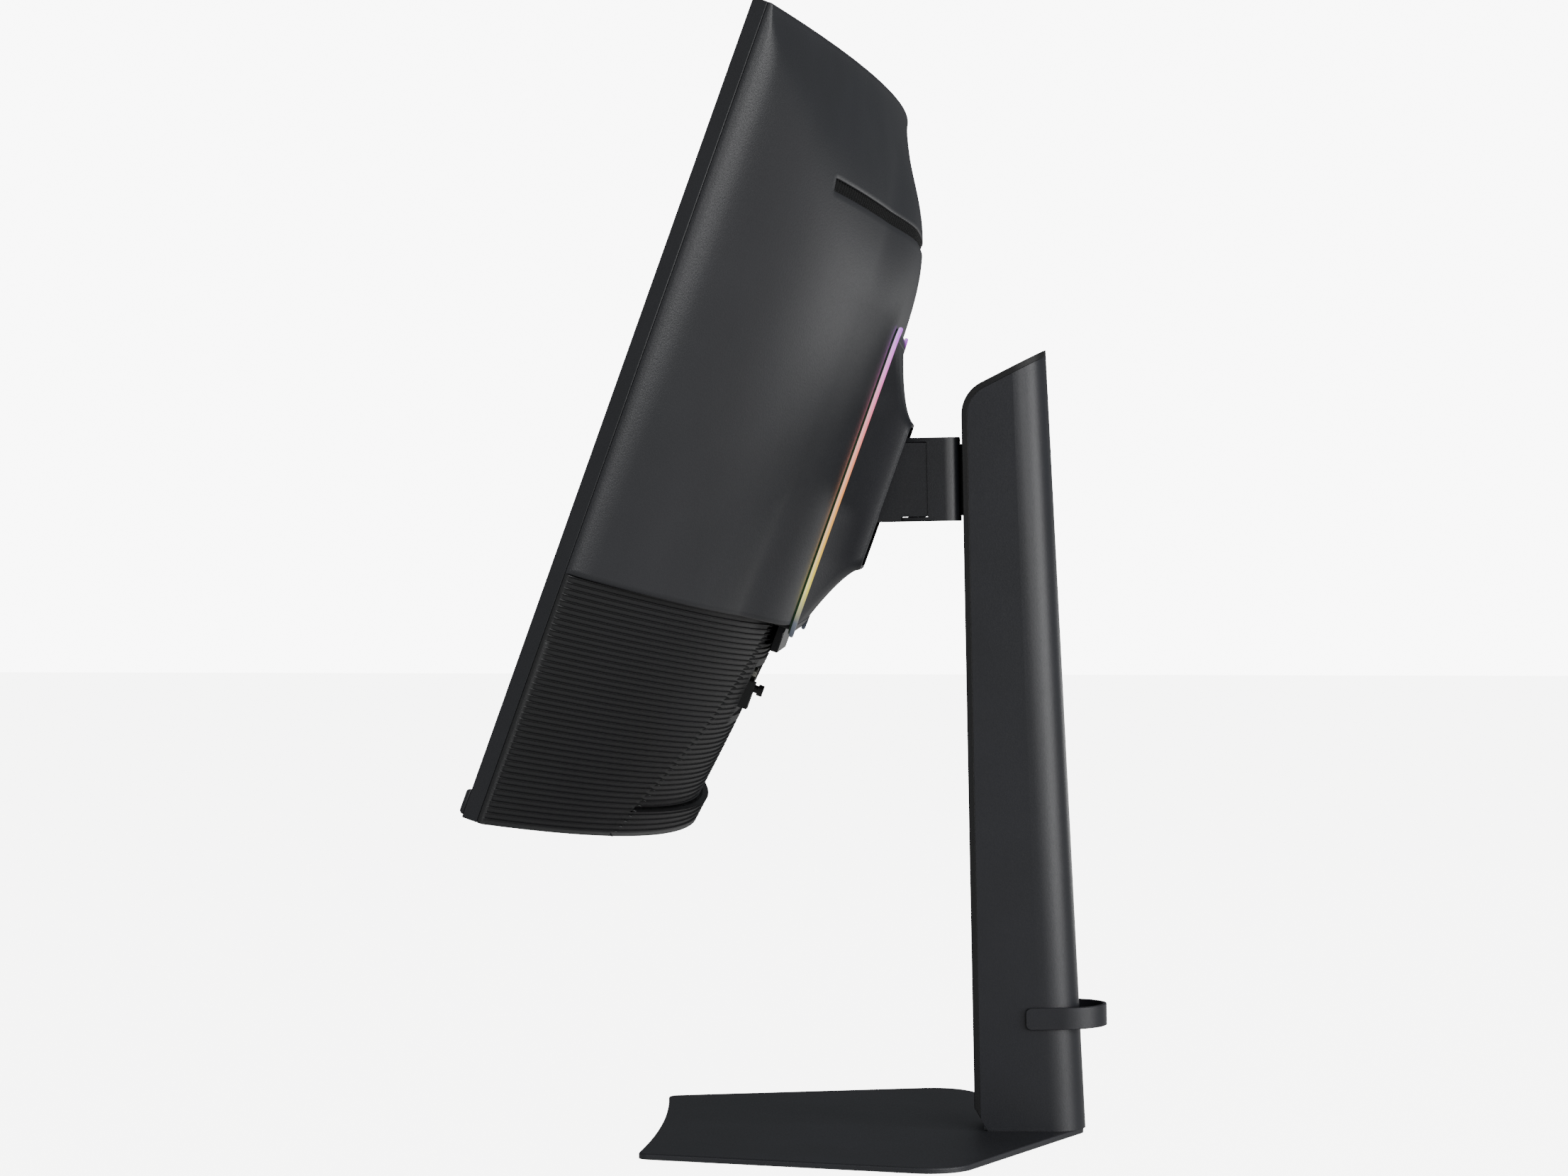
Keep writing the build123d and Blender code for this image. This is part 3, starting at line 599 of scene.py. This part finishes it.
def makeUpperCover():
    # a grid of depth behind the seam arc; extra lines round the rims and at the edges of the openings
    slotHalf, slotLow, slotHigh, lip = (ventSlot[key] for key in ("half", "low", "high", "lip"))
    openHalf, openTop, margin = (podOpening[key] for key in ("half", "top", "margin"))
    upright = [-slotHalf, slotHalf, -openHalf - margin, openHalf + margin, -openHalf, openHalf]
    inner = np.linspace(-348, 348, 175)
    inner = inner[np.min(np.abs(inner[:, None] - upright), 1) > 1.2]
    upright += [-slotHalf - lip, slotHalf + lip]
    sides = [(sign * (head["half"] - inset), drop) for inset, drop in edgeSteps for sign in (-1, 1)]
    columns = [(x, 0.0) for x in (*inner, *upright)] + sides
    columns.sort(key=lambda column: (column[0], -column[1] * np.sign(-column[0])))
    xs, dropX = np.array(columns).T
    rows = [(head["top"] - inset, drop) for inset, drop in edgeSteps]
    level = [slotLow, slotHigh, openTop + margin, openTop]
    middle = np.arange(head["top"] - 2.5, head["split"] + 2, -3.0)
    middle = middle[np.min(np.abs(middle[:, None] - level), 1) > 0.9]
    rows += [(z, 0.0) for z in sorted([*middle, *level, slotHigh + lip, slotLow - lip], reverse=True)]
    rows += [(head["split"] + inset, drop * 4) for inset, drop in reversed(edgeSteps)]
    zs, dropZ = np.array(rows).T
    x, z = np.meshgrid(xs, zs)
    depth = upperDepth(x, z)
    drop = np.maximum(dropX[None], dropZ[:, None])
    inSlot = (np.abs(x) <= slotHalf) & (z <= slotHigh) & (z >= slotLow)
    depth = np.maximum(depth - drop - np.where(inSlot, ventSlot["sink"], 0), head["groove"])
    under = np.minimum(depth - 0.15, np.maximum(depth - head["wall"], head["groove"] - 0.2))
    midX, midZ = (xs[1:] + xs[:-1]) / 2, (zs[1:] + zs[:-1]) / 2
    cut = (np.abs(midX) < slotHalf)[None] & ((midZ < slotHigh) & (midZ > slotLow))[:, None]
    cut |= (np.abs(midX) < openHalf)[None] & (midZ < openTop)[:, None]
    piece = shellPiece("upperCoverShell", headGrid(x, depth, z), headGrid(x, under, z), ~cut)
    finishPiece(piece, "head", "cover_plastic", finish["mouldedMatteAbs"], "upper_rear_cover")


fins = {
    "pitch": 4.0,
    "thick": 0.9,
    "inset": 1.5,  # how far they stand back from the cover's skin
    "deep": 6.0,
    "past": 0.8,  # how far they run on above and below the slot
    "stripHalf": 262.0,
    "stripThick": 1.4,
}


def makeVentFins():
    # thin upright fins behind the slot, each as deep as the cover there, on a curved strip
    middle = (ventSlot["low"] + ventSlot["high"]) / 2
    x = np.arange(-258, 258.1, fins["pitch"])
    back = seamY(x) + upperDepth(x, middle) - fins["inset"]
    foot = np.full_like(x, ventSlot["low"] - fins["past"])
    brow = np.full_like(x, ventSlot["high"] + fins["past"])
    low = np.stack([x - fins["thick"] / 2, back - fins["deep"], foot], -1)
    high = np.stack([x + fins["thick"] / 2, back, brow], -1)
    piece = boxesPiece("ventFins", low, high)
    finishPiece(piece, "head", "trim_plastic", finish["blackTrimAbs"], "vent_grille")
    x, z = np.meshgrid(np.linspace(-fins["stripHalf"], fins["stripHalf"], 90), [145.0, 133.0])
    front = upperDepth(x, middle + 0 * z) - fins["deep"] - 0.5
    whole = np.ones((1, 89), bool)
    behind = front - fins["stripThick"]
    piece = shellPiece("ventBacking", headGrid(x, front, z), headGrid(x, behind, z), whole)
    finishPiece(piece, "head", "trim_plastic", finish["blackTrimAbs"])


ribs = {
    "pitch": 3.0,
    "groove": 1.3,  # how deep the grooves are
    "bead": 1.3,  # how far the edge round the sunk middle stands out
    "wall": 1.2,  # solid under the grooves, added to the cover's wall
    "recessTop": 66.0,  # half width of the sunk middle at its top and at its foot
    "recessLow": 191.0,
    "lipTop": -196.0,  # where the sunk middle ends
    "bayHalf": 45.0,  # the opening for the sockets
    "bayTop": -113.0,
    "bayBottom": -143.0,
    "bayFrame": 4.5,
    "podHalf": 76.0,  # the notch for the pod
    "podLow": -86.0,
}
# one rib from its top down: share of the pitch, and height above the groove's floor;
# a narrow rounded ridge, then a wide flat groove
ribProfile = [(0.0, 0.0), (0.05, 0.75), (0.11, 1.0), (0.22, 0.98), (0.31, 0.7), (0.37, 0.0), (0.68, 0.0)]


def makeRibbedCover():
    # columns follow the slanted edge of the sunk middle, so that its wall stays crisp; rows follow the ribs
    count = int(round((head["split"] - head["bottom"]) / ribs["pitch"]))
    rows = []
    for k in range(count):
        top = head["split"] - k * ribs["pitch"]
        for share, height in ribProfile:
            z = top - share * ribs["pitch"]
            if z > head["bottom"] + 0.3:
                rows.append((z, height))
    zs, ribHeight = np.array(rows).T
    lipRow = int(np.argmax(zs < ribs["lipTop"]))
    zs = np.concatenate([zs[:lipRow], [ribs["lipTop"], ribs["lipTop"]], zs[lipRow:], [head["bottom"]] * 2])
    ribHeight = np.concatenate([ribHeight[:lipRow], [0.0, 0.0], ribHeight[lipRow:], [0.9, 0.9]])
    sunkRow = np.arange(len(zs)) <= lipRow
    spread = ribs["recessLow"] - ribs["recessTop"]
    edge = ribs["recessTop"] + spread * (head["split"] - zs) / (head["split"] - ribs["lipTop"])

    # columns of the right half: bay and fan lie in the sunk middle, foot and brow are its wall,
    # bead its raised edge, and flank and rim the rest, each as a share of its own width
    bay = [0, 9, 18, 27, 36, 44, 45, 50]
    fan = np.linspace(0, 1, 26)[1:]
    flank = np.concatenate([np.linspace(0, 0.985, 44), [0.9935]])
    halfColumns = [("bay", v) for v in bay] + [("fan", v) for v in fan[:-1]]
    halfColumns += [("foot", 1.0), ("brow", 0.0), ("bead", 0.006), ("flank", 0.014)]
    halfColumns += [("flank", v) for v in flank[1:]]
    halfColumns += [("rim", step) for step in reversed(edgeSteps[:-1])]
    xs, inner, extra, dropX = [], [], [], []
    for kind, value in halfColumns:
        if kind == "bay":
            xs.append(np.full_like(zs, value))
        elif kind in ("fan", "foot"):
            xs.append(bay[-1] + (edge - bay[-1]) * value)
        elif kind == "rim":
            xs.append(np.full_like(zs, head["half"] - value[0]))
        else:
            xs.append(edge + (head["half"] - edge) * value)
        inner.append(kind in ("bay", "fan", "foot"))
        extra.append(ribs["bead"] if kind == "bead" else 0.0)
        dropX.append(value[1] if kind == "rim" else 0.0)
    x = np.array(xs).T
    x = np.concatenate([-x[:, :0:-1], x], 1)
    inner, extra, dropX = (np.array(v[:0:-1] + v) for v in (inner, extra, dropX))
    z = np.broadcast_to(zs[:, None], x.shape).copy()

    inFloor = inner[None] & sunkRow[:, None]
    base = np.where(inFloor, floorDepth(x, z), lowerDepth(x, z))
    nearBay = (np.abs(x) < ribs["bayHalf"] + ribs["bayFrame"]) & (z < ribs["bayTop"] + ribs["bayFrame"])
    nearBay &= z > ribs["bayBottom"] - ribs["bayFrame"]
    height = np.where(nearBay | (np.abs(x) > head["half"] - 1.6), 0.95, ribHeight[:, None])
    height = np.where(inner[None] & (np.arange(len(zs)) == lipRow + 1)[:, None], 1.0, height)
    depth = base - ribs["groove"] * (1 - height) + extra[None] * ~inFloor * (height > 0.5)
    depth = np.maximum(depth - dropX[None], head["groove"])
    depth[-1] = head["groove"]
    under = np.minimum(depth - 0.15, np.maximum(base - ribs["wall"] - head["wall"], head["groove"] - 0.2))
    underZ = np.maximum(z, head["bottom"] + 2.2)
    midX, midZ = (x[0, 1:] + x[0, :-1]) / 2, (zs[1:] + zs[:-1]) / 2
    inBay = (midZ < ribs["bayTop"]) & (midZ > ribs["bayBottom"])
    cut = (np.abs(midX) < ribs["bayHalf"])[None] & inBay[:, None]
    cut |= (np.abs(midX) < ribs["podHalf"])[None] & (midZ > ribs["podLow"])[:, None]
    piece = shellPiece("ribbedCover", headGrid(x, depth, z), headGrid(x, under, underZ), ~cut)
    piece.data.set_sharp_from_angle(angle=math.radians(50))
    # painted shade: this finish is darker than the resin, to stand for the shade in the grooves
    finishPiece(piece, "head", "cover_plastic", finish["ribbedShadedAbs"], "lower_rear_cover")


pod = {
    "rimX": 34.0,  # half width and half height of the mouth
    "rimZ": 43.4,
    "rimY": 27.5,
    "wall": 2.4,
    "power": 1.55,  # a higher power flares more at the foot
    "mouthCorner": 8,
    "footCorner": 6.2,
    "lip": 0.6,
    "steps": 30,
}


def roundedRectangle(halfX, halfZ, corner, perCorner, perSide):
    # points round a rounded rectangle, anticlockwise from the middle of its right side, evenly by part
    halfX, halfZ, corner = (np.asarray(v, float)[..., None] for v in (halfX, halfZ, corner))
    turns = np.linspace(0, math.pi / 2, perCorner)
    share = np.linspace(-1, 1, perSide + 2)[1:-1]
    sideX, sideZ = halfX - corner, halfZ - corner
    lines = [
        (halfX + 0 * share, share * sideZ),
        (-share * sideX, halfZ + 0 * share),
        (-halfX + 0 * share, -share * sideZ),
        (share * sideX, -halfZ + 0 * share),
    ]
    xs, zs = [], []
    for k, (signX, signZ) in enumerate([(1, -1), (1, 1), (-1, 1), (-1, -1)]):
        turn = turns + (k - 1) * math.pi / 2
        xs += [signX * sideX + corner * np.cos(turn), lines[k][0]]
        zs += [signZ * sideZ + corner * np.sin(turn), lines[k][1]]
    return np.concatenate(xs, -1), np.concatenate(zs, -1)


def makePod():
    # sections shrink from the ring to the rim by a power of the height left,
    # then turn in and go back inside
    start = ring["front"] - 0.3
    steps = pod["steps"]
    up = start + (pod["rimY"] - start) * np.linspace(0, 1, steps)
    share = np.clip((pod["rimY"] - up) / (pod["rimY"] - start), 0, 1) ** pod["power"]
    foot = ring["band"] + 0.2
    halfX = pod["rimX"] + (ring["halfX"] - foot - pod["rimX"]) * share
    halfZ = pod["rimZ"] + (ring["halfZ"] - foot - pod["rimZ"]) * share
    corner = pod["mouthCorner"] - (pod["mouthCorner"] - pod["footCorner"]) * share
    lip = pod["lip"]
    turn = np.array([0.0, 0.25, 0.6]) / 0.6 * math.pi / 2
    lipY = pod["rimY"] - lip + lip * np.sin(turn)
    y = np.concatenate([[start], up[:-1], lipY, [pod["rimY"]], up[::-1] - 0.01])
    inset = np.concatenate([[0.5], 0 * up[:-1], lip - lip * np.cos(turn), [1.8], pod["wall"] + 0 * up])
    last = steps - 1
    order = np.concatenate([[0], np.arange(last), [last] * 4, np.arange(last, -1, -1)])
    x, z = roundedRectangle(halfX[order] - inset, halfZ[order] - inset, corner[order] - inset / 2, 12, 8)
    points = headToWorld(x, np.broadcast_to(y[:, None], x.shape), z)
    piece = loopPiece("podFlare", points)
    piece.data.set_sharp_from_angle(angle=math.radians(40))
    finishPiece(piece, "head", "cover_plastic", finish["mouldedMatteAbs"], "pod_shroud")


glow = {
    "strength": 1.5,
    # share of the ring's height from its foot, and the light's colour there; the grey-blue at the foot,
    # below the lamps, is painted light: a glow that stands for the unlit acrylic's look under the lamps
    "colours": [
        (0.0, "#3a3f48"),
        (0.05, "#555b64"),
        (0.10, "#9d9b62"),
        (0.16, "#ded02a"),
        (0.30, "#eeb41e"),
        (0.45, "#f79a3c"),
        (0.58, "#fb8a66"),
        (0.70, "#fa7488"),
        (0.80, "#f66fb4"),
        (0.90, "#ee70ea"),
        (1.0, "#c85cfb"),
    ],
    # painted highlight: white blended into the light's colour across the rounded section, standing for the
    # sheen it catches
    "paintedHighlight": "#ffffff",
    "paintedHighlightShare": 0.26,  # how much of the painted white highlight shows towards the screen
    "lampsFrom": 0.06,  # share of the height where the lamps begin, and where they are full; the painted highlight follows them
    "lampsFull": 0.16,
    "unlit": "#2c2e33",
}


def glowMaterial():
    # opal acrylic lit from behind: the colour changes with height, and a painted white highlight makes it
    # paler towards the screen
    material, tree, shader, place = startMaterial("litOpalAcrylic")
    offset = addNode(tree, "ShaderNodeVectorMath", operation="SUBTRACT", links={0: place})
    offset.inputs[1].default_value = tuple(tiltAt / 1000)
    fromAxis = {0: offset.outputs["Vector"]}
    along = addNode(tree, "ShaderNodeVectorMath", operation="DOT_PRODUCT", links=fromAxis)
    along.inputs[1].default_value = tuple(headUp)
    share = addNode(tree, "ShaderNodeMapRange", links={"Value": along.outputs["Value"]})
    share.inputs["From Min"].default_value = -ring["halfZ"] / 1000
    share.inputs["From Max"].default_value = ring["halfZ"] / 1000
    ramp = addNode(tree, "ShaderNodeValToRGB", links={"Fac": share.outputs["Result"]})
    steps = ramp.color_ramp.elements
    steps[0].position, steps[0].color = glow["colours"][0][0], linear(glow["colours"][0][1])
    steps[1].position, steps[1].color = glow["colours"][-1][0], linear(glow["colours"][-1][1])
    for at, colour in glow["colours"][1:-1]:
        steps.new(at).color = linear(colour)
    # painted highlight: the white is mixed in by depth across the section, fullest towards the screen
    across = addNode(tree, "ShaderNodeVectorMath", operation="DOT_PRODUCT", links=fromAxis)
    across.inputs[1].default_value = tuple(headBack)
    paintedHighlight = addNode(tree, "ShaderNodeMapRange", links={"Value": across.outputs["Value"]})
    paintedHighlight.interpolation_type = "SMOOTHSTEP"
    paintedHighlight.inputs["From Min"].default_value = (ring["front"] - 0.6) / 1000
    paintedHighlight.inputs["From Max"].default_value = (ring["back"] + 0.7) / 1000
    paintedHighlight.inputs["To Max"].default_value = glow["paintedHighlightShare"]
    lit = addNode(tree, "ShaderNodeMapRange", links={"Value": share.outputs["Result"]})
    lit.inputs["From Min"].default_value = glow["lampsFrom"]
    lit.inputs["From Max"].default_value = glow["lampsFull"]
    amount = addNode(tree, "ShaderNodeMath", operation="MULTIPLY")
    tree.links.new(paintedHighlight.outputs["Result"], amount.inputs[0])
    tree.links.new(lit.outputs["Result"], amount.inputs[1])
    marked = addNode(tree, "ShaderNodeAttribute", attribute_name="lit")
    side = addNode(tree, "ShaderNodeMapRange", links={"Value": marked.outputs["Fac"]})
    side.inputs["To Max"].default_value = glow["strength"]
    tree.links.new(side.outputs["Result"], shader.inputs["Emission Strength"])
    mix = addNode(tree, "ShaderNodeMix", data_type="RGBA")
    tree.links.new(amount.outputs[0], mix.inputs[0])
    tree.links.new(ramp.outputs["Color"], mix.inputs[6])
    mix.inputs[7].default_value = linear(glow["paintedHighlight"])
    tree.links.new(mix.outputs[2], shader.inputs["Emission Color"])
    shader.inputs["Base Color"].default_value = linear(glow["unlit"])
    shader.inputs["Roughness"].default_value = 0.35
    return material


def makeLightRing():
    # a D-shaped section, rounded outwards, carried round the rounded rectangle
    middle = (ring["front"] + ring["back"]) / 2
    radius = (ring["front"] - ring["back"]) / 2
    turn = np.linspace(-math.pi / 2, math.pi / 2, 9)
    inset = np.concatenate([0.9 - 0.9 * np.cos(turn), [2.6, 3.0], [ring["band"]] * 2])
    flat = ring["front"] - 0.05
    y = np.concatenate([middle + (radius - 0.05) * np.sin(turn), [flat] * 3, [ring["back"] + 0.05]])
    x, z = roundedRectangle(ring["halfX"] - inset, ring["halfZ"] - inset, ring["corner"] - inset, 14, 40)
    # the top and bottom runs between the lit sides slope on from the pod
    foot = ring["halfZ"] - ring["band"]
    forward = (y[:, None] - ring["back"]) / (ring["front"] - ring["back"])
    kept = ring["slopeBack"] - ring["slopeLoss"] * forward
    sloped = foot + (np.abs(z) - foot) * kept
    run = (np.abs(x) < ring["litX"]) & (np.abs(z) > foot - 0.5)
    z = np.where(run, np.sign(z) * sloped, z)
    points = headToWorld(x, np.broadcast_to(y[:, None], x.shape), z)
    piece = loopPiece("lightRing", points)
    # light comes from the rounded outer edge of the two sides
    lit = ((inset < 2.8)[:, None] & ~run).astype(np.float32)
    piece.data.attributes.new("lit", "FLOAT", "POINT").data.foreach_set("value", lit.ravel())
    finishPiece(piece, "head", "ring_diffuser", glowMaterial(), "light_ring")


makeUpperCover()
print("upper cover made")
makeVentFins()
makeRibbedCover()
print("ribbed cover made")
makePod()
makeLightRing()
print("pod and light ring made")

# width of the rounding along the edges, in millimetres
moulded = {
    "mid_frame": 0.45,
    "chin_bezel": 0.4,
    "column_shell": 0.35,
    "column_front_cover": 0.3,
    "neck_knuckle": 0.6,
    "neck_clevis": 0.6,
    "cable_clip": 0.5,
    "lower_housing": 0.5,
    "jog_housing": 0.4,
    "port_frame": 0.3,
}
for node, width in moulded.items():
    piece = roundedCopy(node, width)
    piece.data.materials.append(finish[slotFinish[slotOf[node]]])
print("moulded edges made")
